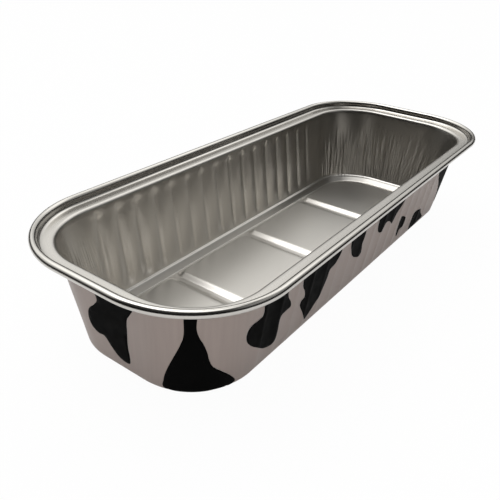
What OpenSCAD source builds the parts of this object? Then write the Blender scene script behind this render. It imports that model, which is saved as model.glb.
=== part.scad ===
// Small loaf pan drawn from one sheet of printed aluminium foil: a rolled rim bead on a
// flat flange, leaning walls with fine upright flutes, and a floor of four raised panels
// with grooves between and round them. The sheet has a lacquer coat and black cow spots outside.

/* [Rim] */
// Length over the rim
rim_length = 165; // [140:1:200]
// Width over the rim
rim_width = 66; // [60:1:90]
// Radius of the rim's corners, seen from above
rim_corner_radius = 25; // [22:0.5:28]
// From the rim's outer edge to the inside edge of the flange
flange_width = 6; // [5:0.1:7]
// Radius of the rolled bead along the edge
bead_radius = 1; // [0.8:0.05:1.2]
// Height of the bead's top above the flange
bead_height = 2.4; // [2:0.1:3]
// Radius in the groove between the flange and the bead
groove_radius = 0.4; // [0.3:0.05:0.6]

/* [Walls] */
// Height from the underside to the top of the bead
pan_height = 31; // [25:0.5:40]
// Lean of the walls
wall_draft = 7.8; // [4:0.1:10]
// Radius where the wall bends out into the flange
bend_radius = 0.9; // [0.6:0.1:1.5]
// Radius at the foot of the wall
foot_radius = 1; // [0.6:0.1:1.2]

/* [Flutes] */
// Distance between neighbouring upright flutes in the long walls
flute_pitch = 7; // [5:0.1:10]
// How far a flute stands out of the wall
flute_depth = 0.3; // [0.1:0.05:0.4]
// Radius of the round of a flute
flute_radius = 3.4; // [3:0.1:6]
// Height left between the flutes' round ends and the wall's foot and bend
flute_margin = 0.5; // [0.5:0.5:3]

/* [Floor] */
// Height of the wall's foot above the bottom of the grooves
foot_height = 2; // [2:0.1:3]
// Width of the sloping band between the wall's foot and the groove round the floor
band_width = 2.3; // [2:0.1:3]
// Width of the flat bottom of the groove round the floor
ring_width = 0.8; // [0.6:0.1:1.5]
// Number of grooves across the floor
groove_count = 3; // [1:1:3]
// Distance between neighbouring grooves
groove_pitch = 35.6; // [30:0.2:40]
// Distance of the row of grooves from the middle of the floor
groove_shift = 1.2; // [0:0.1:3]
// Width of the flat bottom of a groove across the floor
groove_width = 1.8; // [1:0.1:3]
// Height of the panels above the bottom of the grooves
panel_height = 1; // [0.6:0.1:1.2]
// Width of the slope round each panel
panel_slope_width = 1.7; // [1.5:0.1:2]

/* [Sheet] */
// Thickness of the foil
foil_thickness = 0.12; // [0.1:0.01:0.2]
// Thickness of the lacquer coat on the outside
coat_thickness = 0.05; // [0.04:0.01:0.1]
// Thickness of the printed spots on the coat
print_thickness = 0.05; // [0.04:0.01:0.1]

/* [Hidden] */
$fn = 96;

// Depths into the sheet, measured from its bare inner face
coat_start = foil_thickness;
print_start = coat_start + coat_thickness;
print_end = print_start + print_thickness;
// Bare inner face: height of the grooves' bottom, the panels, the wall's foot and the flange
floor_z = foil_thickness + coat_thickness;
panel_z = floor_z + panel_height;
foot_z = floor_z + foot_height;
flange_z = pan_height - bead_height;
// Lean of the sloping band and of the panels' sides
band_angle = atan(foot_height / band_width);
panel_angle = atan(panel_height / panel_slope_width);
// Centre of each corner's arcs, shared by every layer of the sheet
corner_x = rim_length / 2 - rim_corner_radius;
corner_y = rim_width / 2 - rim_corner_radius;
// Radii about that centre: top and foot of the wall, foot of the band, foot of the panels
wall_top_r = rim_corner_radius - flange_width;
foot_r = wall_top_r - (flange_z - foot_z) * tan(wall_draft);
band_r = foot_r - band_width;
panel_r = band_r - ring_width;
// The bars that fill the grooves reach this far up above the panels
groove_lap = foil_thickness;
// Half extents of the block that fills the middle, out into the walls' own fillings
core_x = corner_x + panel_r / 2;
core_y = corner_y + panel_r / 2;
// Where the bend into the flange begins, down the wall
bend_tangent = bend_radius * tan((90 - wall_draft) / 2);
bend_start_z = flange_z - bend_tangent * cos(wall_draft);
// In section, from a corner's centre: the upright flank that carries the bead, and the
// centres of the bend, of the groove's round and of the bead
flank_r = rim_corner_radius - 2 * bead_radius;
bend_centre = [wall_top_r + bend_tangent, flange_z - bend_radius];
groove_centre = [flank_r - groove_radius, flange_z + groove_radius];
bead_centre = [rim_corner_radius - bead_radius, pan_height - bead_radius];
// Centre of the round at the wall's foot in the same section
foot_turn = 90 - wall_draft - band_angle;
foot_tangent = foot_radius * tan(foot_turn / 2);
foot_centre = [
    foot_r + foot_tangent * sin(wall_draft) - foot_radius * cos(wall_draft),
    foot_z + foot_tangent * cos(wall_draft) + foot_radius * sin(wall_draft)
];
// As many flutes as fit between the corners
flute_count = floor(2 * corner_x / flute_pitch) + 1;

// Radius of the bare inner wall at height z, and at depth d into the sheet
function wall_r(z, d) = wall_top_r - (flange_z - z) * tan(wall_draft) + d / cos(wall_draft);

// Steps of the smooth curve between two points of a spot
curve_steps = 4;
// Outlines of the cow spots: shares of half the long wall's straight length, from the
// middle, and of the height up to the rim's bend. Those above 1 run up to the bend
long_side_spot_shares = [
    [
        [-0.94, 1.2], [-0.8, 1.2], [-0.79, 0.72], [-0.75, 0.56], [-0.82, 0.5],
        [-0.84, 0.3], [-0.89, 0.23], [-0.97, 0.32], [-1.04, 0.47], [-1.04, 0.65], [-0.97, 0.71]
    ],
    [
        [-0.68, 1.2], [-0.33, 1.2], [-0.35, 0.74], [-0.43, 0.6], [-0.45, 0.44],
        [-0.52, 0.26], [-0.59, 0.16], [-0.63, 0.3], [-0.67, 0.43], [-0.64, 0.52], [-0.68, 0.72]
    ],
    [
        [-0.27, 1.2], [-0.12, 1.2], [-0.12, 0.75], [-0.12, 0.6], [-0.09, 0.44],
        [-0.18, 0.47], [-0.25, 0.62], [-0.28, 0.8]
    ],
    [
        [0.02, 1.2], [0.38, 1.2], [0.34, 0.75], [0.29, 0.6], [0.25, 0.5],
        [0.18, 0.6], [0.12, 0.53], [0.06, 0.56], [0.03, 0.74]
    ],
    [
        [0.41, 0.48], [0.47, 0.43], [0.5, 0.34], [0.46, 0.28], [0.44, 0.19], [0.41, 0.23], [0.4, 0.38]
    ],
    [
        [0.65, 0.33], [0.74, 0.33], [0.81, 0.22], [0.86, 0.13], [0.75, 0.11], [0.65, 0.12]
    ],
    [
        [0.83, 1.2], [1.16, 1.2], [1.16, 0.6], [1.12, 0.32], [1.05, 0.22], [1.02, 0.36], [0.92, 0.62]
    ]
];
// Outline of the spot on a rounded corner, in shares of the radius at the wall's foot
corner_spot_shares = [
    [-0.22, 1.2], [-0.06, 1.2], [-0.04, 0.76], [0.07, 0.55], [0.14, 0.38],
    [0.3, 0.27], [0.45, 0.12], [0, 0.1], [-0.44, 0.12], [-0.43, 0.32], [-0.32, 0.6], [-0.24, 0.84]
];
// Outline of the spot on an end, in shares of half its straight length
end_spot_shares = [
    [-0.4, 1.2], [1, 1.2], [0.84, 0.83], [0.58, 0.71], [0.46, 0.46], [0.44, 0.2],
    [0, 0.17], [-0.44, 0.29], [-0.9, 0.35], [-1.08, 0.46], [-0.94, 0.61], [-0.58, 0.71]
];

// A direction in a section
function dir(a) = [cos(a), sin(a)];

// The filled form of the pan in section, at depth d: from a corner's centre out over the
// panel, down to the groove round the floor, up the band, round the foot, up the wall, out
// on the flange and up to the bead
module body_section(d) {
    ring_r = panel_r + d / tan(panel_angle) - d / sin(panel_angle);
    bottom_r = band_r - d / tan(band_angle) + d / sin(band_angle);
    difference() {
        polygon([
            [0, panel_z - d],
            [ring_r - panel_slope_width, panel_z - d],
            [ring_r, floor_z - d],
            [bottom_r, floor_z - d],
            foot_centre + (foot_radius + d) * dir(band_angle - 90),
            foot_centre + (foot_radius + d) * dir(-wall_draft),
            bend_centre + (bend_radius - d) * dir(180 - wall_draft),
            bend_centre + (bend_radius - d) * dir(90),
            groove_centre + (groove_radius + d) * dir(-90),
            groove_centre + (groove_radius + d) * dir(0),
            [flank_r + d, bead_centre.y],
            [0, bead_centre.y]
        ]);
        translate(bend_centre)
            circle(bend_radius - d);
    }
    translate(foot_centre)
        circle(foot_radius + d);
    translate(groove_centre)
        circle(groove_radius + d);
}

// The filled form under the rolled bead in section, at depth d: the bead and the flank
// that carries it
module bead_section(d) {
    translate(bead_centre)
        circle(bead_radius - d);
    translate([flank_r + d, groove_centre.y])
        square([bead_radius - d, bead_centre.y - groove_centre.y]);
}

// Carries an outline round the pan: a quarter turn at each corner, straight in between
module round_the_pan() {
    for (sx = [-1, 1])
        for (sy = [-1, 1])
            translate([sx * corner_x, sy * corner_y, 0])
                rotate([0, 0, sx > 0 ? (sy > 0 ? 0 : -90) : (sy > 0 ? 90 : 180)])
                    rotate_extrude(angle = 90)
                        children();
    for (turn = [0, 180])
        rotate([0, 0, turn]) {
            translate([corner_x, corner_y, 0])
                rotate([90, 0, 0])
                    linear_extrude(2 * corner_y)
                        children();
            translate([-corner_x, corner_y, 0])
                rotate([90, 0, 90])
                    linear_extrude(2 * corner_x)
                        children();
        }
}

// The filled grooves across the floor, at depth d: bars with sloping sides, out into the
// groove round the floor
module groove_bars(d) {
    half_low = groove_width / 2 - d / tan(panel_angle) + d / sin(panel_angle);
    high = panel_height + groove_lap;
    half_high = half_low + high / tan(panel_angle);
    half_y = corner_y + panel_r + ring_width / 2;
    for (i = [0:groove_count - 1])
        translate([groove_shift + (i - (groove_count - 1) / 2) * groove_pitch, half_y, floor_z - d])
            rotate([90, 0, 0])
                linear_extrude(2 * half_y)
                    polygon([[-half_low, 0], [half_low, 0], [half_high, high], [-half_high, high]]);
}

// The upright flutes of both long walls: rods with round ends, sunk in the wall so that
// only flute_depth of each stands out
module flute_rods(d) {
    low_z = foot_z + flute_margin + flute_radius;
    high_z = bend_start_z - flute_margin - flute_radius;
    rod = (high_z - low_z) / cos(wall_draft);
    sink = (flute_radius - flute_depth) / cos(wall_draft);
    for (turn = [0, 180])
        rotate([0, 0, turn])
            for (i = [0:flute_count - 1])
                translate([
                    (i - (flute_count - 1) / 2) * flute_pitch,
                    corner_y + wall_r(low_z, 0) - sink,
                    low_z
                ])
                    rotate([-wall_draft, 0, 0]) {
                        cylinder(h = rod, r = flute_radius + d);
                        sphere(r = flute_radius + d);
                        translate([0, 0, rod])
                            sphere(r = flute_radius + d);
                    }
}

// Everything inside the pan at depth d, up to the middle of the bead
module filled_pan(d) {
    round_the_pan()
        body_section(d);
    translate([-core_x, -corner_y, panel_z - d])
        cube([2 * core_x, 2 * corner_y, bead_centre.y - panel_z + d]);
    translate([-corner_x, -core_y, panel_z - d])
        cube([2 * corner_x, 2 * core_y, bead_centre.y - panel_z + d]);
    groove_bars(d);
    flute_rods(d);
}

// A layer of the sheet's body, from depth d1 to depth d2
module body_layer(d1, d2) {
    difference() {
        filled_pan(d2);
        filled_pan(d1);
    }
}

// The same layer of the rolled bead
module bead_layer(d1, d2) {
    round_the_pan()
        difference() {
            bead_section(d1);
            bead_section(d2);
        }
}

module foil_shell() {
    color("lightgray") {
        body_layer(0, coat_start);
        bead_layer(0, coat_start);
    }
}

module outer_lacquer() {
    color("rosybrown") {
        body_layer(coat_start, print_start);
        bead_layer(coat_start, print_start);
    }
}

// A smooth closed curve through the points
function smooth(points) =
    let (n = len(points))
    [
        for (i = [0:n - 1])
            for (step = [0:curve_steps - 1])
                let (
                    t = step / curve_steps,
                    a = points[(i + n - 1) % n],
                    b = points[i],
                    c = points[(i + 1) % n],
                    e = points[(i + 2) % n]
                )
                b + t * (c - a) / 2 + t * t * (a - 5 * b / 2 + 2 * c - e / 2)
                    + t * t * t * (3 * (b - c) + e - a) / 2
    ];

// A block through the wall in the shape of a spot. The side faces -Y before it is turned,
// and the shares are of half the side's length and of the height up to the rim's bend
module spot_block(half_length, shares) {
    rotate([90, 0, 0])
        linear_extrude(rim_length)
            polygon([for (point = smooth(shares)) [point.x * half_length, point.y * bend_start_z]]);
}

// The spots of one long side, the end to its left and the corner between them
module spot_blocks() {
    for (shares = long_side_spot_shares)
        spot_block(corner_x, shares);
    translate([-corner_x, -corner_y, 0])
        rotate([0, 0, -45])
            spot_block(foot_r, corner_spot_shares);
    rotate([0, 0, -90])
        spot_block(corner_y, end_spot_shares);
}

module cow_print() {
    color("black")
        intersection() {
            body_layer(print_start, print_end);
            linear_extrude(bend_start_z)
                square([rim_length, rim_width], center = true);
            for (turn = [0, 180])
                rotate([0, 0, turn])
                    spot_blocks();
        }
}

foil_shell();
outer_lacquer();
cow_print();
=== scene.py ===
from math import atan2, cos, pi, radians, sin, tan

import bmesh
import bpy
import numpy as np
from mathutils import Matrix, Vector
from mathutils.geometry import delaunay_2d_cdt


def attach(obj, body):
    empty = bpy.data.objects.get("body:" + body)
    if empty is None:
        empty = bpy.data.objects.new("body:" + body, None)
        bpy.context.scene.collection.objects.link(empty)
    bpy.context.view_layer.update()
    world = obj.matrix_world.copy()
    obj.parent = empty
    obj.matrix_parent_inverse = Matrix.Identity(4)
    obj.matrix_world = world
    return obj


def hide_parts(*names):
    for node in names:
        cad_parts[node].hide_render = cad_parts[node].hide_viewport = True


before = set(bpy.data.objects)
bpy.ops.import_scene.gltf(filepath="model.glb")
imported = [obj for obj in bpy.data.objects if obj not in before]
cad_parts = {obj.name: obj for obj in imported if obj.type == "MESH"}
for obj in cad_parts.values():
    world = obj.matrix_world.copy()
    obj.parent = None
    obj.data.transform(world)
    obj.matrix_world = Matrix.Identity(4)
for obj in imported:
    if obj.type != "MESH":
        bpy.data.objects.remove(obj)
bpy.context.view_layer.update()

scene = bpy.context.scene
scene.view_settings.view_transform = "Standard"

# The pressed sheet: one blank of aluminium foil, drawn in a press to a rolled bead, a flat
# flange, leaning walls, a sloping band with a ledge, and a floor of four raised panels with
# grooves. This open skin is its bare inner face, and every layer of the sheet lies under it.
MM = 0.001
HALF_LENGTH, HALF_WIDTH = 82.5, 33.0
RIM_TOP, FLANGE_Z, FLOOR_Z = 31.0, 28.6, 0.17
BEAD_RADIUS, BEND_RADIUS, FOOT_RADIUS = 1.0, 0.9, 0.5
# degrees round the bead, from its cut edge, out and over the top to the flank
BEAD_START, BEAD_END = -102, 180
# the section's rows: insets from the rim's outer edge, and heights
FLANK = [(2.0, 29.7), (2.03, 29.35), (2.12, 29.05), (2.32, 28.82), (2.6, 28.68), (2.95, 28.62)]
FLANGE_INSETS = (3.5, 4.1, 4.8)
WALL_TOP, WALL_FOOT = (6.0, FLANGE_Z), (9.6, 2.2)
WALL_ROWS = (26.7, 26.2, 25.7, 25.1, 24.3, 22.6, 20.5, 18.2,
             15.8, 13.4, 11.0, 8.8, 6.9, 5.4, 4.4, 3.6)
FLOOR_INSETS = (10.15, 10.35, 10.6, 11.1, 11.5, 11.7, 11.8, 11.88, 11.96, 12.1, 12.4, 12.7, 12.95,
                13.25, 13.6, 13.95, 14.3, 14.6, 14.9, 15.3, 15.9, 16.8, 18.2, 20.2, 22.6, 25.0)
FLOOR_CORE = 27.0
BEAD_ROWS, BEND_ROWS, FOOT_ROWS = 18, 7, 6
DRAFT = atan2(WALL_FOOT[0] - WALL_TOP[0], WALL_TOP[1] - WALL_FOOT[1])
# the corners' radii at these insets
CORNER_INSETS = (0.0, 6.0, 9.6, 11.9, 12.7, FLOOR_CORE)
CORNER_RADII = (24.7, 17.4, 16.9, 14.6, 13.8, 0.0)
# the floor; slopes are height per length, and the band's changes over END_BLEND at the ends
BAND_SLOPE, END_BAND_SLOPE, END_BLEND = 1.32, 0.95, 9.0
BAND_EDGE, BAND_RADIUS = 11.8, 14.6
LEDGE_SLOPE, LEDGE_HEIGHT = 0.25, 1.88
PANEL_EDGE, SIDE_PANEL_EDGE = 12.7, 11.95
PANEL_SLOPE, PANEL_HEIGHT, ROLLED_EDGE = 0.59, 1.0, 2.3
PANEL_RADIUS, END_PANEL_RADIUS = 3.0, 13.8
GROOVE_CENTRES, GROOVE_HALF = (-34.4, 1.2, 36.8), 0.9
# rings that round the floor's edges: radius, and the weight of each point
RINGS, RING_POINTS, CENTRE_WEIGHT = ((0.07, 1.0), (0.15, 0.5)), 8, 2.0
FIRST_FLUTE, FLUTE_PITCH, FLUTE_COUNT = -55.2, 6.85, 16
# half lengths of the straight sides, and a corner's length, measured round the pan
STRAIGHT_X, STRAIGHT_Y, CORNER_U = 57.5, 8.0, 26.7
ROUND_U = 4 * (STRAIGHT_X + STRAIGHT_Y + CORNER_U)
# steps between columns: over a flute, over a groove and its slopes, and elsewhere
FLUTE_STEP, GROOVE_STEP, PLAIN_STEP = 0.3, 0.42, 1.0
FLUTE_REACH, GROOVE_REACH = 1.2, 3.3
SHORT_STEPS, CORNER_STEPS = 13, 28


def corner_radius(inset):
    """Radius of the corners, seen from above, at an inset from the rim's outer edge."""
    return float(np.interp(inset, CORNER_INSETS, CORNER_RADII))


def section():
    """Inset and height of each row of the skin, from the bead's cut edge inwards."""
    rows = []
    for a in np.linspace(BEAD_START, BEAD_END, BEAD_ROWS):
        rows.append((BEAD_RADIUS - cos(radians(a)) * BEAD_RADIUS,
                     RIM_TOP - BEAD_RADIUS + sin(radians(a)) * BEAD_RADIUS))
    rows += FLANK + [(inset, FLANGE_Z) for inset in FLANGE_INSETS]
    # the bend between flange and wall
    tangent = BEND_RADIUS * tan((pi / 2 - DRAFT) / 2)
    for a in np.linspace(pi / 2, DRAFT, BEND_ROWS):
        rows.append((WALL_TOP[0] - tangent + cos(a) * BEND_RADIUS,
                     FLANGE_Z - BEND_RADIUS + sin(a) * BEND_RADIUS))
    rows += [(WALL_TOP[0] + (FLANGE_Z - z) * tan(DRAFT), z) for z in WALL_ROWS]
    # the bend between wall and ledge
    ledge = atan2(LEDGE_SLOPE, 1.0)
    tangent = FOOT_RADIUS * tan((pi / 2 - DRAFT - ledge) / 2)
    centre = (WALL_FOOT[0] - tangent * sin(DRAFT) + FOOT_RADIUS * cos(DRAFT),
              WALL_FOOT[1] + tangent * cos(DRAFT) + FOOT_RADIUS * sin(DRAFT))
    for a in np.linspace(pi + DRAFT, 1.5 * pi - ledge, FOOT_ROWS):
        rows.append((centre[0] + cos(a) * FOOT_RADIUS, centre[1] + sin(a) * FOOT_RADIUS))
    return rows


def round_box(x, y, x1, x2, half_y, r1, r2):
    """Distance outside a round-cornered box from x1 to x2, with corner radii r1 and r2."""
    middle = (x1 + x2) / 2
    r = np.where(x < middle, r1, r2)
    qx = np.abs(x - middle) - (x2 - x1) / 2 + r
    qy = np.abs(y) - half_y + r
    return np.minimum(np.maximum(qx, qy), 0) + np.hypot(np.maximum(qx, 0), np.maximum(qy, 0)) - r


def pressed_height(x, y):
    """Height over the grooves' bottom: the band and its ledge, and the panels."""
    end_x, half_y = HALF_LENGTH - BAND_EDGE, HALF_WIDTH - BAND_EDGE
    outside = np.maximum(round_box(x, y, -end_x, end_x, half_y, BAND_RADIUS, BAND_RADIUS), 0)
    round_end = np.clip((np.abs(x) - STRAIGHT_X) / END_BLEND, 0, 1)
    slope = BAND_SLOPE + (END_BAND_SLOPE - BAND_SLOPE) * round_end
    knee = LEDGE_HEIGHT / BAND_SLOPE
    total = np.minimum(slope * outside, LEDGE_HEIGHT + LEDGE_SLOPE * (outside - knee))
    end_x, half_y = HALF_LENGTH - PANEL_EDGE, HALF_WIDTH - SIDE_PANEL_EDGE
    starts = [-end_x] + [centre + GROOVE_HALF for centre in GROOVE_CENTRES]
    ends = [centre - GROOVE_HALF for centre in GROOVE_CENTRES] + [end_x]
    for x1, x2 in zip(starts, ends):
        r1 = END_PANEL_RADIUS if x1 == -end_x else PANEL_RADIUS
        r2 = END_PANEL_RADIUS if x2 == end_x else PANEL_RADIUS
        inside = np.maximum(-round_box(x, y, x1, x2, half_y, r1, r2), 0)
        # each panel's edge is sharp on the left and softly rolled on the right
        sharp = np.minimum(PANEL_SLOPE * inside, PANEL_HEIGHT)
        rolled = PANEL_HEIGHT * (1 - np.clip(1 - inside / ROLLED_EDGE, 0, 1) ** 2)
        t = np.clip((x - x1) / (x2 - x1), 0, 1)
        total = total + sharp + (rolled - sharp) * t * t * (3 - 2 * t)
    return total


def floor_height(x, y):
    """The pressed height, averaged over small rings, as foil rounds over a tool's edge."""
    total, weight = pressed_height(x, y) * CENTRE_WEIGHT, CENTRE_WEIGHT
    for radius, share in RINGS:
        for k in range(RING_POINTS):
            a = 2 * pi * k / RING_POINTS + radius
            total = total + share * pressed_height(x + radius * cos(a), y + radius * sin(a))
            weight += share
    return FLOOR_Z + total / weight


def straight_steps():
    """Places along a long side, from -1 to 1, closer together over flutes and grooves."""
    xs, x = [-STRAIGHT_X], -STRAIGHT_X
    while x < STRAIGHT_X:
        to_groove = min(abs(x - centre) for centre in GROOVE_CENTRES)
        to_flute = min(abs(x - FIRST_FLUTE - k * FLUTE_PITCH) for k in range(FLUTE_COUNT))
        step = GROOVE_STEP if to_groove < GROOVE_REACH else PLAIN_STEP
        x += FLUTE_STEP if to_flute < FLUTE_REACH else step
        xs.append(x)
    xs = np.array(xs)
    xs = -STRAIGHT_X + (xs + STRAIGHT_X) * 2 * STRAIGHT_X / (xs[-1] + STRAIGHT_X)
    return xs / STRAIGHT_X


def column_point(kind, side, t, a, b, r):
    """Point of a column, on the outline with half extents a and b and corner radius r."""
    ax, by = a - r, b - r
    if kind == "side":
        return ((t * ax, -b), (a, t * by), (t * ax, b), (-a, t * by))[side]
    cx, cy = ((ax, -by), (ax, by), (-ax, by), (-ax, -by))[side]
    angle = radians((-90, 0, 90, 180)[side] + 90 * t)
    return cx + r * cos(angle), cy + r * sin(angle)


def column_u(kind, side, t):
    """Place of a column round the pan in millimetres, 0 at the middle of the -Y side."""
    half = STRAIGHT_X if side in (0, 2) else STRAIGHT_Y
    middle = side * (STRAIGHT_X + CORNER_U + STRAIGHT_Y)
    if kind == "side":
        return middle + half * (t if side in (0, 1) else -t)
    return middle + half + CORNER_U * t


long_t, short_t = straight_steps(), np.linspace(-1, 1, SHORT_STEPS)
columns = []
for side, steps in enumerate((long_t, short_t, long_t[::-1], short_t[::-1])):
    columns += [("side", side, t) for t in steps]
    columns += [("corner", side, k / CORNER_STEPS) for k in range(1, CORNER_STEPS)]
places = np.array([column_u(*c) for c in columns])
places = np.where(places > ROUND_U / 2, places - ROUND_U, places)
first = int(np.argmin(places))
columns = columns[first:] + columns[:first]
places = np.concatenate((places[first:], places[:first]))

# place of each row up the sheet: its height on the wall, and the length of foil above that
shell_rows = section()
insets = [inset for inset, _ in shell_rows] + list(FLOOR_INSETS)
up = [z for _, z in shell_rows]
wall_row = up.index(WALL_ROWS[0])
for i in range(wall_row - 1, -1, -1):
    step = np.subtract(shell_rows[i], shell_rows[i + 1])
    up[i] = up[i + 1] + float(np.hypot(*step))
for i in range(len(shell_rows), len(insets)):
    up.append(up[i - 1] - (insets[i] - insets[i - 1]))

points = []
for i, inset in enumerate(insets):
    a, b, r = HALF_LENGTH - inset, HALF_WIDTH - inset, corner_radius(inset)
    z = shell_rows[i][1] if i < len(shell_rows) else 0.0
    points += [(*column_point(*c, a, b, r), z) for c in columns]
points = np.array(points)
floor = points[len(shell_rows) * len(columns):]
floor[:, 2] = floor_height(floor[:, 0], floor[:, 1])

# the middle of the floor, inside the corners' centres
grid_x = long_t * (HALF_LENGTH - FLOOR_CORE)
grid_y = short_t * (HALF_WIDTH - FLOOR_CORE)
nx, ny = len(grid_x), len(grid_y)
gx, gy = np.meshgrid(grid_x, grid_y, indexing="ij")
grid_start = len(points)
middle = np.stack((gx.ravel(), gy.ravel(), floor_height(gx.ravel(), gy.ravel())), 1)
points = np.concatenate((points, middle))


def grid_vertex(kind, side, t):
    """The floor grid's vertex that a column ends on."""
    if kind == "corner":
        return grid_start + ((nx - 1) * ny, nx * ny - 1, ny - 1, 0)[side]
    if side in (0, 2):
        return grid_start + int(np.argmin(abs(long_t - t))) * ny + (0 if side == 0 else ny - 1)
    return grid_start + (nx - 1 if side == 1 else 0) * ny + int(np.argmin(abs(short_t - t)))


# the map's u is the place round the pan and its v the place up the sheet; the floor's middle
# lies apart on it, below the rows
UV_SPAN, MIDDLE_UP = np.array((400.0, 100.0)), -20.0
faces, face_uv = [], []
count = len(columns)
u_next = np.append(places[1:], places[0] + ROUND_U)
for i in range(len(insets)):
    last = i + 1 == len(insets)
    v_next = up[i] - (FLOOR_CORE - insets[i]) if last else up[i + 1]
    for k in range(count):
        n = (k + 1) % count
        if last:
            inner_k, inner_n = grid_vertex(*columns[k]), grid_vertex(*columns[n])
        else:
            inner_k, inner_n = (i + 1) * count + k, (i + 1) * count + n
        face = [i * count + k, i * count + n, inner_n, inner_k]
        uv = [(places[k], up[i]), (u_next[k], up[i]), (u_next[k], v_next), (places[k], v_next)]
        if inner_k == inner_n:
            del face[2], uv[2]
        faces.append(face)
        face_uv += uv
for i in range(nx - 1):
    for j in range(ny - 1):
        k = grid_start + i * ny + j
        faces.append([k, k + ny, k + ny + 1, k + 1])
        for d, e in ((0, 0), (1, 0), (1, 1), (0, 1)):
            face_uv.append((grid_x[i + d], MIDDLE_UP + grid_y[j + e]))


def mesh_of(name, verts, polygons, uvs):
    """A mesh in metres with the sheet's own UV map: round the pan, and up the wall."""
    mesh = bpy.data.meshes.new(name)
    mesh.from_pydata((np.asarray(verts) * MM).tolist(), [], polygons)
    layer = mesh.uv_layers.new(name="sheet")
    layer.data.foreach_set("uv", ((np.array(uvs) / UV_SPAN) + 0.5).astype(np.float32).ravel())
    mesh.shade_smooth()
    mesh.update()
    return mesh


def linked(name, mesh):
    """An object of a mesh, in the scene."""
    made = bpy.data.objects.new(name, mesh)
    scene.collection.objects.link(made)
    return made


skin = linked("pressed_skin", mesh_of("pressed_skin", points, faces, face_uv))


def node(tree, kind, inputs=(), out=0, **settings):
    """Adds a node with its settings, fills its inputs with values or links, and returns an output."""
    made = tree.nodes.new(kind)
    for key, value in settings.items():
        setattr(made, key, value)
    for key, value in inputs.items() if isinstance(inputs, dict) else enumerate(inputs):
        if isinstance(value, bpy.types.NodeSocket):
            tree.links.new(value, made.inputs[key])
        else:
            made.inputs[key].default_value = value
    return made.outputs[out] if made.outputs else made


MATH, VECTOR = "ShaderNodeMath", "ShaderNodeVectorMath"
RANGE, NOISE = "ShaderNodeMapRange", "ShaderNodeTexNoise"


def faded(tree, value, fades):
    """A value times smooth fades, each from one factor at a low place to another at a high one."""
    for place, low, high, at_low, at_high in fades:
        fade = node(tree, RANGE, [place, low, high, at_low, at_high], interpolation_type="SMOOTHSTEP")
        value = node(tree, MATH, [value, fade], operation="MULTIPLY")
    return value


def new_group(name, values):
    """A geometry tree with named inputs, and its input sockets by name."""
    tree = bpy.data.node_groups.new(name, "GeometryNodeTree")
    tree.interface.new_socket("Geometry", in_out="OUTPUT", socket_type="NodeSocketGeometry")
    tree.interface.new_socket("Geometry", in_out="INPUT", socket_type="NodeSocketGeometry")
    for label, value in values.items():
        kind = "Float" if isinstance(value, float) else value
        made = tree.interface.new_socket(label, in_out="INPUT", socket_type="NodeSocket" + kind)
        if kind == "Float":
            made.default_value = value
    return tree, {socket.name: socket for socket in node(tree, "NodeGroupInput", out=slice(None))}


# Upright flutes in the long walls, the fine puckers that drawing leaves in the corners, and
# the slight sway of thin foil. All are pressed outward along the skin's normals, in
# millimetres, and are placed by the sheet's own UV map.
press, given = new_group("flutes_and_puckers", {
    "Flute Pitch": FLUTE_PITCH, "First Flute": FIRST_FLUTE, "Flute Count": float(FLUTE_COUNT),
    "Flute Half Width": 1.2, "Flute Depth": 0.32, "Pillow Depth": 0.27, "Broad Depth": 0.32,
    "Sprung Share": 0.4, "Near Wall Share": 0.55, "Pucker Depth": 0.1, "Sway Depth": 0.2,
    "Seed": 3.0, "Material": "Material"})
sheet_uv = node(press, "GeometryNodeInputNamedAttribute", {"Name": "sheet"}, data_type="FLOAT_VECTOR")
centred = node(press, VECTOR, [sheet_uv, (0.5, 0.5, 0.0)], operation="SUBTRACT")
round_mm, up_mm, _ = node(press, "ShaderNodeSeparateXYZ", out=slice(None), inputs=[
    node(press, VECTOR, [centred, (*UV_SPAN, 1.0)], operation="MULTIPLY")])
at_mm = node(press, VECTOR, [node(press, "GeometryNodeInputPosition"), (MM, MM, MM)], operation="DIVIDE")
x_mm, y_mm, _ = node(press, "ShaderNodeSeparateXYZ", [at_mm], out=slice(None))
x_size, y_size, _ = node(press, "ShaderNodeSeparateXYZ", out=slice(None), inputs=[
    node(press, VECTOR, [at_mm], operation="ABSOLUTE")])

# distance along the wall from the nearest flute's middle
past_first = node(press, MATH, [x_mm, given["First Flute"]], operation="SUBTRACT")
in_pitches = node(press, MATH, [past_first, given["Flute Pitch"]], operation="DIVIDE")
last_flute = node(press, MATH, [given["Flute Count"], 1.0], operation="SUBTRACT")
nearest = node(press, MATH, [in_pitches], operation="ROUND")
nearest = node(press, MATH, [nearest, 0.0], operation="MAXIMUM")
nearest = node(press, MATH, [nearest, last_flute], operation="MINIMUM")
off = node(press, MATH, [in_pitches, nearest], operation="SUBTRACT")
off = node(press, MATH, [off], operation="ABSOLUTE")
off_mm = node(press, MATH, [off, given["Flute Pitch"]], operation="MULTIPLY")

# the first three flutes of the far wall are broader and deeper, up to near their top
broad = faded(press, 1.0, [(x_mm, -40.0, -34.0, 1.0, 0.0), (y_mm, 10.0, 15.0, 0.0, 1.0),
                           (up_mm, 17.0, 26.0, 1.0, 0.0)])
half_width = node(press, MATH, [broad, given["Flute Half Width"]], operation="ADD")
across = node(press, MATH, [off_mm, half_width], operation="DIVIDE")
depth = node(press, MATH, [broad, given["Broad Depth"], given["Flute Depth"]], operation="MULTIPLY_ADD")
flutes = faded(press, depth, [(across, 0.0, 1.0, 1.0, 0.0)])
# a broad shallow pillow lies round each flute
pitches_off = node(press, MATH, [off_mm, given["Flute Pitch"]], operation="DIVIDE")
pillow = faded(press, given["Pillow Depth"], [(pitches_off, 0.0, 0.5, 1.0, 0.0)])
flutes = node(press, MATH, [flutes, pillow], operation="ADD")
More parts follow.
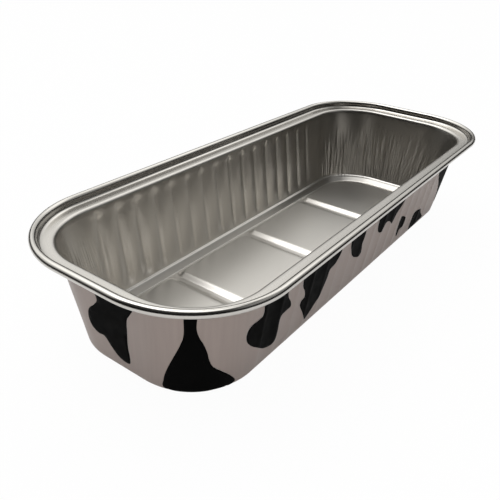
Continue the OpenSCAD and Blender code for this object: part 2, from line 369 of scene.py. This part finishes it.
# the foil sprang back a quarter of the way along, and the near wall is pressed less deep
sprung = faded(press, given["Sprung Share"], [(x_mm, -38.0, -28.0, 0.0, 1.0), (x_mm, -12.0, 4.0, 1.0, 0.0)])
unsprung = node(press, MATH, [1.0, sprung], operation="SUBTRACT")
flutes = node(press, MATH, [flutes, unsprung], operation="MULTIPLY")
flutes = faded(press, flutes, [(y_mm, -10.0, 10.0, given["Near Wall Share"], 1.0),
                               (y_size, 20.5, 23.0, 0.0, 1.0),
                               (up_mm, 2.6, 4.4, 0.0, 1.0), (up_mm, 24.8, 27.4, 1.0, 0.0)])

# a pucker is about 1.5 mm wide and runs half the height; the sway is 9 mm wide
sheet_at = node(press, "ShaderNodeCombineXYZ", [round_mm, up_mm, given["Seed"]])
pressed_mm = flutes
for size, detail, amount, fades in (
        ((1.5, 13.0, 1.0), 2.0, given["Pucker Depth"], [(x_size, 50.0, 60.0, 0.0, 1.0)]),
        ((9.0, 26.0, 1.0), 1.0, given["Sway Depth"], [])):
    noise_at = node(press, VECTOR, [sheet_at, size], operation="DIVIDE")
    uneven = node(press, NOISE, {"Vector": noise_at, "Scale": 1.0, "Detail": detail})
    uneven = node(press, MATH, [uneven, 0.5], operation="SUBTRACT")
    uneven = node(press, MATH, [uneven, amount], operation="MULTIPLY")
    uneven = faded(press, uneven, fades + [(up_mm, 2.4, 5.5, 0.0, 1.0), (up_mm, 24.0, 27.6, 1.0, 0.0)])
    pressed_mm = node(press, MATH, [pressed_mm, uneven], operation="ADD")
normal = node(press, "GeometryNodeInputNormal")
outward_by = node(press, MATH, [pressed_mm, -MM], operation="MULTIPLY")
move = node(press, VECTOR, {0: normal, "Scale": outward_by}, operation="SCALE")
placed = node(press, "GeometryNodeSetPosition", {"Geometry": given["Geometry"], "Offset": move})
real = node(press, "GeometryNodeRealizeInstances", [placed])
node(press, "NodeGroupOutput", [node(
    press, "GeometryNodeSetMaterial", {"Geometry": real, "Material": given["Material"]})])


def applied(obj, tree, values, name):
    """The plain mesh that a tree makes of an object, with no modifier left on it."""
    modifier = obj.modifiers.new("press", "NODES")
    modifier.node_group = tree
    for item in tree.interface.items_tree:
        if item.in_out == "INPUT" and item.name in values:
            modifier[item.identifier] = values[item.name]
    depsgraph = bpy.context.evaluated_depsgraph_get()
    mesh = bpy.data.meshes.new_from_object(obj.evaluated_get(depsgraph))
    mesh.name = name
    obj.modifiers.remove(modifier)
    return mesh


def hex_colour(text):
    """An sRGB hex colour as the linear colour that a shader takes."""
    channels = [int(text[i:i + 2], 16) / 255 for i in (1, 3, 5)]
    linear = [c / 12.92 if c <= 0.04045 else ((c + 0.055) / 1.055) ** 2.4 for c in channels]
    return (*linear, 1.0)


def new_material(name):
    """A material with an empty tree."""
    material = bpy.data.materials.new(name)
    material.use_nodes = True
    material.node_tree.nodes.clear()
    return material, material.node_tree


UP_ZERO = UV_SPAN[1] / 2


def sheet_mm(tree):
    """The sheet's UV map in millimetres. Up the sheet, the plane it stands on is at UP_ZERO."""
    uv = node(tree, "ShaderNodeUVMap", uv_map="sheet")
    return node(tree, VECTOR, [uv, (*UV_SPAN, 1.0)], operation="MULTIPLY")


# Bare drawn aluminium foil, the face that food lies on.
# Cold rolled and then drawn: satin bright, with fine upright drawing lines on the walls and
# rolling lines along the floor, which spread each reflection across them.
foil, tree = new_material("drawn_aluminium_foil")
uv_mm = sheet_mm(tree)
up_sheet = node(tree, "ShaderNodeSeparateXYZ", [uv_mm], out=1)
# drawing lines are about 0.05 mm wide; drawn 0.36 mm wide and 20 mm long so that they show
lines_at = node(tree, "ShaderNodeMapping", {"Vector": uv_mm, "Scale": (2.8, 0.05, 1.0)})
lines = node(tree, NOISE, {"Vector": lines_at, "Scale": 1.0, "Detail": 3.0})
burnish = node(tree, RANGE, [lines, 0.3, 0.7, 0.28, 0.31])
# the floor isn't stretched, so it keeps the mill's duller finish
mill = node(tree, RANGE, [lines, 0.3, 0.7, 0.31, 0.37])
undrawn = node(tree, RANGE, [up_sheet, UP_ZERO + 1.6, UP_ZERO + 0.2], interpolation_type="SMOOTHSTEP")
body = node(tree, "ShaderNodeMix", {0: undrawn, 2: burnish, 3: mill})
# rolling the bead polishes it, and takes the drawing lines out
on_rim = node(tree, RANGE, [up_sheet, UP_ZERO + 29.0, UP_ZERO + 32.5], interpolation_type="SMOOTHSTEP")
roughness = node(tree, "ShaderNodeMix", {0: on_rim, 2: body, 3: 0.17})
line_relief = node(tree, RANGE, {0: on_rim, 3: 0.03, 4: 0.0})
relief = node(tree, "ShaderNodeBump", {"Strength": line_relief, "Distance": 0.04 * MM, "Height": lines})
# the metal gathers in fine upright wrinkles, about 1.2 mm wide, low in the corners and ends
gather_at = node(tree, "ShaderNodeMapping", {
    "Vector": uv_mm, "Scale": (0.85, 0.055, 1.0), "Location": (0.0, 3.0, 0.0)})
gather = node(tree, NOISE, {"Vector": gather_at, "Scale": 1.0, "Detail": 1.0})
from_middle = node(tree, "ShaderNodeSeparateXYZ", [node(tree, "ShaderNodeTexCoord", out="Object")])
from_middle = node(tree, MATH, [from_middle], operation="ABSOLUTE")
gathered = faded(tree, 1.0, [(from_middle, 52 * MM, 62 * MM, 0.0, 1.0),
                             (up_sheet, UP_ZERO + 1.5, UP_ZERO + 4.0, 0.0, 1.0),
                             (up_sheet, UP_ZERO + 12.0, UP_ZERO + 24.0, 1.0, 0.0)])
relief = node(tree, "ShaderNodeBump", {
    "Strength": gathered, "Distance": 0.9 * MM, "Height": gather, "Normal": relief})
node(tree, "ShaderNodeOutputMaterial", [node(tree, "ShaderNodeBsdfPrincipled", {
    "Base Color": hex_colour("#C9C6C1"), "Metallic": 1.0, "Roughness": roughness, "Normal": relief})])

pressed = applied(skin, press, {"Material": foil}, "pressed")
# thicknesses; the ink is drawn thicker than the CAD's 0.05, so that it covers the lacquer's facets
FOIL, COAT, INK = 0.12, 0.05, 0.07


def layer_of_sheet(name, start, end, material):
    """A closed layer of the sheet, from one depth to another below its bare inner face."""
    n = len(pressed.vertices)
    co, normal = np.empty(n * 3, np.float32), np.empty(n * 3, np.float32)
    pressed.vertices.foreach_get("co", co)
    pressed.vertex_normals.foreach_get("vector", normal)
    co, normal = co.reshape(-1, 3) / MM, normal.reshape(-1, 3)
    loops = np.empty(len(pressed.loops) * 2, np.float32)
    pressed.uv_layers["sheet"].data.foreach_get("uv", loops)
    loops = (loops.reshape(-1, 2) - 0.5) * UV_SPAN
    inner = [list(p.vertices) for p in pressed.polygons]
    outer = [[v + n for v in reversed(p)] for p in inner]
    uvs, k = list(map(tuple, loops)), 0
    for p in inner:
        uvs += [tuple(c) for c in loops[k:k + len(p)][::-1]]
        k += len(p)
    # the first row is the sheet's cut edge, which joins the two faces
    edge = []
    for k in range(count):
        m = (k + 1) % count
        edge.append([m, k, k + n, m + n])
        uvs += [(u, up[0]) for u in (u_next[k], places[k], places[k], u_next[k])]
    verts = np.concatenate((co - normal * start, co - normal * end))
    made = linked(name, mesh_of(name, verts, inner + outer + edge, uvs))
    made.data.materials.append(material)
    return made


foil_sheet = layer_of_sheet("foil_sheet", 0.0, FOIL, foil)
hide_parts("foil_shell")
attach(foil_sheet, "root")

# The lacquer on the outside of the sheet.
# A thin pale pinkish grey coat, put on the flat coil before the blank is drawn, so it runs
# under the flange and into the bead. It is satin, and the metal's flow shows through it.
lacquer, tree = new_material("satin_grey_lacquer")
# streaks of flow are about 1.1 mm wide and 25 mm long
flow_at = node(tree, "ShaderNodeMapping", {"Vector": sheet_mm(tree), "Scale": (0.9, 0.04, 1.0)})
flow = node(tree, NOISE, {"Vector": flow_at, "Scale": 1.0, "Detail": 3.0})
tone = node(tree, "ShaderNodeMix", out=2, data_type="RGBA", inputs={
    0: flow, 6: hex_colour("#A4968F"), 7: hex_colour("#B6A7A1")})
relief = node(tree, "ShaderNodeBump", {"Strength": 0.2, "Distance": 0.04 * MM, "Height": flow})
node(tree, "ShaderNodeOutputMaterial", [node(tree, "ShaderNodeBsdfPrincipled", {
    "Base Color": tone, "Roughness": node(tree, RANGE, [flow, 0.3, 0.7, 0.34, 0.46]), "Normal": relief,
    "Specular IOR Level": 0.3, "IOR": 1.5})])

coat = layer_of_sheet("lacquer_coat", FOIL, FOIL + COAT, lacquer)
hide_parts("outer_lacquer")
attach(coat, "root")

# The cow spots, printed in black satin ink on the lacquer.
# Each is outlined here flat, in millimetres round the pan and up the wall, then laid on the
# wall through the sheet's UV map, so that it follows flutes and corners as print does.
NEAR_SIDE = [
    # from the left-hand corner to the right-hand corner
    [(-54.8, 29), (-45.0, 29), (-45.6, 22.0), (-45.2, 18.9), (-43.7, 16.6), (-43.3, 14.8), (-45.0, 14.4),
     (-47.2, 14.2), (-47.9, 12.6), (-47.8, 9.5), (-48.3, 7.4), (-50.4, 6.5), (-53.2, 7.4), (-56.0, 9.8),
     (-58.5, 12.0), (-60.2, 14.6), (-60.4, 17.2), (-59.2, 18.8), (-56.6, 19.2), (-55.3, 20.6)],
    [(-39.2, 29), (-19.5, 29), (-20.4, 21.5), (-20.9, 19.2), (-22.4, 17.0), (-24.9, 16.2), (-25.4, 13.8),
     (-26.6, 11.2), (-28.0, 9.0), (-30.4, 6.8), (-33.0, 4.9), (-34.6, 5.1), (-36.2, 8.4), (-38.2, 11.6),
     (-38.2, 13.2), (-36.9, 14.0), (-37.4, 16.2), (-38.9, 18.6), (-39.4, 22)],
    [(-15.0, 29), (-6.4, 29), (-6.8, 23.0), (-6.6, 18.4), (-7.0, 16.4), (-5.8, 14.2), (-5.5, 12.4),
     (-7.3, 12.1), (-10.4, 13.4), (-12.8, 15.5), (-14.2, 17.6), (-15.2, 20.6), (-15.4, 24.0)],
    [(2.2, 29), (20.6, 29), (19.8, 22.0), (18.9, 19.0), (17.0, 17.1), (15.6, 15.0), (14.4, 14.2),
     (11.7, 16.2), (9.0, 16.7), (7.6, 15.2), (5.6, 14.8), (3.6, 16.2), (2.3, 19.2), (2.0, 24)],
    [(23.4, 13.2), (25.8, 12.6), (27.5, 11.4), (28.5, 9.4), (27.2, 8.2), (25.7, 7.4), (25.3, 5.4),
     (24.2, 6.1), (23.2, 8.6), (22.9, 11.4)],
    [(36.8, 9.2), (40.2, 9.8), (43.2, 9.0), (46.0, 6.4), (49.0, 3.8), (46.0, 3.0), (41.0, 2.8),
     (37.4, 3.0), (36.2, 6.0)],
    [(47.8, 29), (66.0, 29), (66.5, 20.0), (64.8, 12.0), (62.6, 7.2), (60.4, 5.9), (58.6, 8.8), (56.4, 13.2),
     (52.4, 17.6), (49.6, 21.4)],
]
CORNER_AND_END = [
    # on the left-hand corner, then on the left-hand end
    [(-74.0, 29), (-71.6, 29), (-71.7, 22.8), (-71.2, 20.0), (-70.3, 17.8), (-69.5, 15.2), (-69.0, 12.6),
     (-68.2, 10.4), (-66.2, 8.2), (-64.0, 5.8), (-62.6, 3.0), (-66.0, 1.9), (-72.0, 1.6), (-78.6, 2.4),
     (-78.8, 5.6), (-78.0, 9.0), (-76.8, 12.4), (-75.6, 15.6), (-74.8, 18.0), (-74.2, 21.0)],
    [(-85.2, 29), (-97.0, 29), (-95.8, 21.6), (-97.2, 19.0), (-99.8, 16.6), (-101.2, 13.6), (-101.0, 11.0),
     (-99.2, 9.8), (-97.1, 9.9), (-95.6, 7.8), (-93.8, 5.8), (-91.8, 4.9), (-89.2, 5.0), (-88.6, 7.2),
     (-88.6, 11.0), (-88.1, 15.0), (-87.5, 19.4), (-86.4, 21.6), (-85.3, 24)],
]
# the print is trimmed where the wall bends into the flange
PRINT_TOP = 27.9


def rounded_outline(corners, steps=6):
    """A smooth closed curve through an outline's points."""
    corners = np.array(corners, float)
    n, curve = len(corners), []
    for i in range(n):
        a, b, c, d = (corners[(i + k) % n] for k in (-1, 0, 1, 2))
        for s in range(steps):
            t = s / steps
            curve.append(b + 0.5 * t * (c - a) + t * t * (a - 2.5 * b + 2 * c - 0.5 * d)
                         + t ** 3 * (1.5 * (b - c) + 0.5 * (d - a)))
    return np.array(curve)


# the ink's points stand on the sheet's own columns and rows, and on levels between the rows
LEVEL_STEP = 0.6
levels = []
for a, b in zip(up, up[1:]):
    levels += list(np.linspace(a, b, int((a - b) / LEVEL_STEP) + 2)[:-1])
# the least distance between points of an outline, and from it to the points within
OUTLINE_STEP, CLEAR_ROUND, CLEAR_UP = 0.02, 0.1, 0.15


def flat_spot(corners, shift):
    """A spot filled with small triangles, so that it can bend with the wall."""
    curve = rounded_outline(corners)
    curve[:, 1] = np.minimum(curve[:, 1], PRINT_TOP)
    keep = [i for i in range(len(curve)) if np.hypot(*(curve[i] - curve[i - 1])) > OUTLINE_STEP]
    curve = curve[keep]
    (left, low), (right, high) = curve.min(0), curve.max(0)
    across = [u - shift for u in places if left + CLEAR_ROUND < u - shift < right - CLEAR_ROUND]
    inside = [(x, z) for x in across for z in levels if low + CLEAR_UP < z < high - CLEAR_UP]
    verts = [Vector(p) for p in curve] + [Vector(p) for p in inside]
    ring = [(i, (i + 1) % len(curve)) for i in range(len(curve))]
    # output type 1 keeps the triangles inside the ring
    made = delaunay_2d_cdt(verts, ring, [list(range(len(curve)))], 1, 1e-4)
    return [(v.x + shift, v.y) for v in made[0]], [list(f) for f in made[2]]


# the print repeats, turned half round
spot_verts, spot_faces = [], []
for turned in (0.0, ROUND_U / 2):
    for corners in NEAR_SIDE + CORNER_AND_END:
        middle_u = np.mean([c[0] for c in corners]) + turned
        shift = turned - (ROUND_U if middle_u > ROUND_U / 2 else 0.0)
        verts, polygons = flat_spot(corners, shift)
        spot_faces += [[v + len(spot_verts) for v in f] for f in polygons]
        spot_verts += verts
flat = bpy.data.meshes.new("flat_print")
on_map = [(u / UV_SPAN[0] + 0.5, z / UV_SPAN[1] + 0.5, 0.0) for u, z in spot_verts]
flat.from_pydata(on_map, [], spot_faces)
flat_print = linked("flat_print", flat)
pressed_sheet = linked("pressed_sheet", pressed)

# carbon black ink, dull and a little uneven over 2.4 mm
ink, tree = new_material("black_satin_ink")
ink_at = node(tree, "ShaderNodeTexCoord", out="Object")
uneven = node(tree, NOISE, {"Vector": ink_at, "Scale": 420.0, "Detail": 2.0})
tone = node(tree, "ShaderNodeMix", out=2, data_type="RGBA", inputs={
    0: uneven, 6: hex_colour("#030303"), 7: hex_colour("#080808")})
node(tree, "ShaderNodeOutputMaterial", [node(tree, "ShaderNodeBsdfPrincipled", {
    "Base Color": tone, "Roughness": node(tree, RANGE, [uneven, 0.3, 0.7, 0.5, 0.62]),
    "IOR": 1.5, "Specular IOR Level": 0.015})])

# each flat point reads the wall's place and normal where it falls on the sheet's UV map
printing, given = new_group("print_on_the_wall", {
    "Sheet": "Object", "Depth": FOIL + COAT, "Ink Thickness": INK, "Material": "Material"})
wall = node(printing, "GeometryNodeObjectInfo", {"Object": given["Sheet"]}, out="Geometry")
wall_uv = node(printing, "GeometryNodeInputNamedAttribute", {"Name": "sheet"}, data_type="FLOAT_VECTOR")
here = node(printing, "GeometryNodeInputPosition")
wall_at, wall_normal = (
    node(printing, "GeometryNodeSampleUVSurface", data_type="FLOAT_VECTOR", inputs={
        "Mesh": wall, "Value": value, "Source UV Map": wall_uv, "Sample UV": here})
    for value in (here, node(printing, "GeometryNodeInputNormal")))
# the ink's two faces, first under the foil and lacquer and then under the ink as well
laid, ink_faces = wall_at, []
for depth in (given["Depth"], given["Ink Thickness"]):
    outward_by = node(printing, MATH, [depth, -MM], operation="MULTIPLY")
    step = node(printing, VECTOR, {0: wall_normal, "Scale": outward_by}, operation="SCALE")
    laid = node(printing, VECTOR, [laid, step], operation="ADD")
    ink_faces.append(node(printing, "GeometryNodeSetPosition", {
        "Geometry": given["Geometry"], "Position": laid}))
against_lacquer = node(printing, "GeometryNodeFlipFaces", {"Mesh": ink_faces[0]})
both = node(printing, "GeometryNodeJoinGeometry", [against_lacquer])
printing.links.new(ink_faces[1], both.node.inputs[0])
real = node(printing, "GeometryNodeRealizeInstances", [both])
node(printing, "NodeGroupOutput", [node(
    printing, "GeometryNodeSetMaterial", {"Geometry": real, "Material": given["Material"]})])

printed = applied(flat_print, printing, {"Sheet": pressed_sheet, "Material": ink}, "cow_spots")
# close the thin rim between the two faces of the ink
spot_mesh = bmesh.new()
spot_mesh.from_mesh(printed)
spot_mesh.verts.ensure_lookup_table()
half = len(spot_mesh.verts) // 2
rim = [e for e in spot_mesh.edges if e.is_boundary and max(v.index for v in e.verts) < half]
for edge in rim:
    loop = edge.link_loops[0]
    v1, v2 = loop.link_loop_next.vert, loop.vert
    spot_mesh.faces.new((v1, v2, spot_mesh.verts[v2.index + half], spot_mesh.verts[v1.index + half]))
spot_mesh.to_mesh(printed)
spot_mesh.free()
printed.shade_smooth()
spots = linked("cow_spots", printed)
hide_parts("cow_print")
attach(spots, "root")
for helper in (skin, flat_print, pressed_sheet):
    bpy.data.objects.remove(helper)


# The white sheet that the pan stands on.
# Plain paper that reaches far behind the pan and ends just in front of it, on a dark table.
# The eye sees it as white, and it keeps the pan's shadow for the metal to mirror.
def ground(name, corners, z, material):
    """A flat stage surface through the corners, at height z."""
    mesh = bpy.data.meshes.new(name)
    mesh.from_pydata([(x, y, z) for x, y in corners], [], [tuple(range(len(corners)))])
    mesh.materials.append(material)
    linked(name, mesh)


paper, tree = new_material("white_paper")
# the paper's fibres, drawn 3.3 mm wide, coarser than they are
paper_at = node(tree, "ShaderNodeTexCoord", out="Object")
grain = node(tree, NOISE, {"Vector": paper_at, "Scale": 300.0, "Detail": 2.0})
tone = node(tree, "ShaderNodeMix", out=2, data_type="RGBA", inputs={
    0: grain, 6: hex_colour("#F2F2F2"), 7: hex_colour("#F7F7F7")})
matt = node(tree, "ShaderNodeBsdfPrincipled", {
    "Base Color": tone, "Roughness": 0.7, "Specular IOR Level": 0.2})
# the metal sees more of the pan's own shadow on the sheet than the eye does
shown = 0.0
for ray, share in (("Is Camera Ray", 1.0), ("Is Glossy Ray", 0.5), ("Is Transmission Ray", 1.0)):
    light_path = node(tree, "ShaderNodeLightPath", out=ray)
    seen = node(tree, MATH, [light_path, 0.97 * share], operation="MULTIPLY")
    shown = node(tree, MATH, [shown, seen], operation="MAXIMUM")
white = node(tree, "ShaderNodeEmission", [(1, 1, 1, 1), 1.0])
node(tree, "ShaderNodeOutputMaterial", [node(tree, "ShaderNodeMixShader", [shown, matt, white])])
ground("white_sheet", [(-0.235, -0.06), (-0.145, -0.20), (1.295, 0.20), (0.36, 0.87)], 0.0, paper)

# painted board, matt and dark, which the metal mirrors past the sheet's edge
board, tree = new_material("dark_table_top")
node(tree, "ShaderNodeOutputMaterial", [node(tree, "ShaderNodeBsdfPrincipled", {
    "Base Color": hex_colour("#3A3836"), "Roughness": 0.6})])
ground("dark_table", [(-4, -4), (4, -4), (4, 4), (-4, 4)], -0.6 * MM, board)

# The studio light.
# A bright wall and ceiling behind the pan and to its right, from about 18 degrees above the
# table, a brighter window to the left of them and a dark room behind the camera.
world = bpy.data.worlds.new("studio_room")
scene.world = world
world.use_nodes = True
tree = world.node_tree
tree.nodes.clear()
outward = node(tree, "ShaderNodeTexCoord", out="Generated")
rise = node(tree, "ShaderNodeSeparateXYZ", [outward], out=2)
glow = node(tree, "ShaderNodeValToRGB", [rise])
# the light's level at each rise above the table, the sine of the angle, a little warm
stops = glow.node.color_ramp.elements
for sine, level in ((0.20, 0.02), (0.27, 0.06), (0.325, 0.44), (0.42, 0.42), (0.52, 0.52), (0.62, 0.8),
                    (0.7, 1.0), (0.78, 0.8), (0.88, 0.5), (0.95, 0.7), (1.0, 0.8)):
    stops.new(sine).color = (level, level, level * 0.98, 1.0)
stops.remove(stops[0])
stops.remove(stops[-1])
# each part of the room: its direction, the cosines to it between which its light comes up, and
# its share of the light at the first and the second
lit = {}
for part, direction, fade in (("back_wall", (0.64, 0.77, 0.0), (-0.1, 0.42, 0.03, 1.0)),
                              ("window", (0.17, 0.985, 0.0), (0.74, 0.92, 0.95, 1.5)),
                              ("right_wall", (0.77, -0.64, 0.0), (0.2, 0.8, 0.0, 0.27)),
                              ("ceiling", (0.0, 0.0, 1.0), (0.86, 0.97, 0.0, 1.2))):
    toward = node(tree, VECTOR, [outward, direction], out="Value", operation="DOT_PRODUCT")
    lit[part] = node(tree, RANGE, [toward, *fade], interpolation_type="SMOOTHSTEP")
level = node(tree, MATH, [lit["back_wall"], lit["window"]], operation="MULTIPLY")
for part in ("right_wall", "ceiling"):
    level = node(tree, MATH, [level, lit[part]], operation="MAXIMUM")
strength = node(tree, MATH, [level, 1.9], operation="MULTIPLY")
node(tree, "ShaderNodeOutputWorld", [node(tree, "ShaderNodeBackground", [glow, strength])])


def softbox(name, size_x, size_y, watts, place):
    """A rectangular lamp that faces the pan."""
    lamp = bpy.data.lights.new(name, "AREA")
    lamp.shape = "RECTANGLE"
    lamp.size, lamp.size_y, lamp.energy = size_x, size_y, watts
    made = linked(name, lamp)
    made.location = place
    made.rotation_euler = (-Vector(place)).to_track_quat("-Z", "Y").to_euler()
    return made


softbox("overhead_softbox", 0.7, 0.5, 2.2, (-0.08, 0.40, 0.9))
# a weaker lamp beside the camera fills the printed outside; the bright metal doesn't mirror it
softbox("fill_softbox", 0.6, 0.6, 1.55, (-0.6, -0.5, 0.3)).visible_glossy = False

# The camera, where the photograph was taken from: a little above the near left-hand corner.
# Its place, angles and focal length come from the fit to the photograph's 500 px frame.
eye = Vector((-139.47, -79.86, 91.99)) * MM
turn, tilt, lean = radians(-55.19), radians(29.63), radians(2.83)
back = Vector((sin(turn) * cos(tilt), -cos(turn) * cos(tilt), sin(tilt)))
level_right = Vector((cos(turn), sin(turn), 0.0))
level_top = back.cross(level_right)
right = level_right * cos(lean) + level_top * sin(lean)
top = level_top * cos(lean) - level_right * sin(lean)
camera_data = bpy.data.cameras.new("camera")
camera_data.sensor_width = 36.0
camera_data.lens = 569.03 / 500 * camera_data.sensor_width
camera_data.clip_start = 0.005
camera = linked("camera", camera_data)
camera.matrix_world = Matrix.Translation(eye) @ Matrix((right, top, back)).transposed().to_4x4()
scene.camera = camera
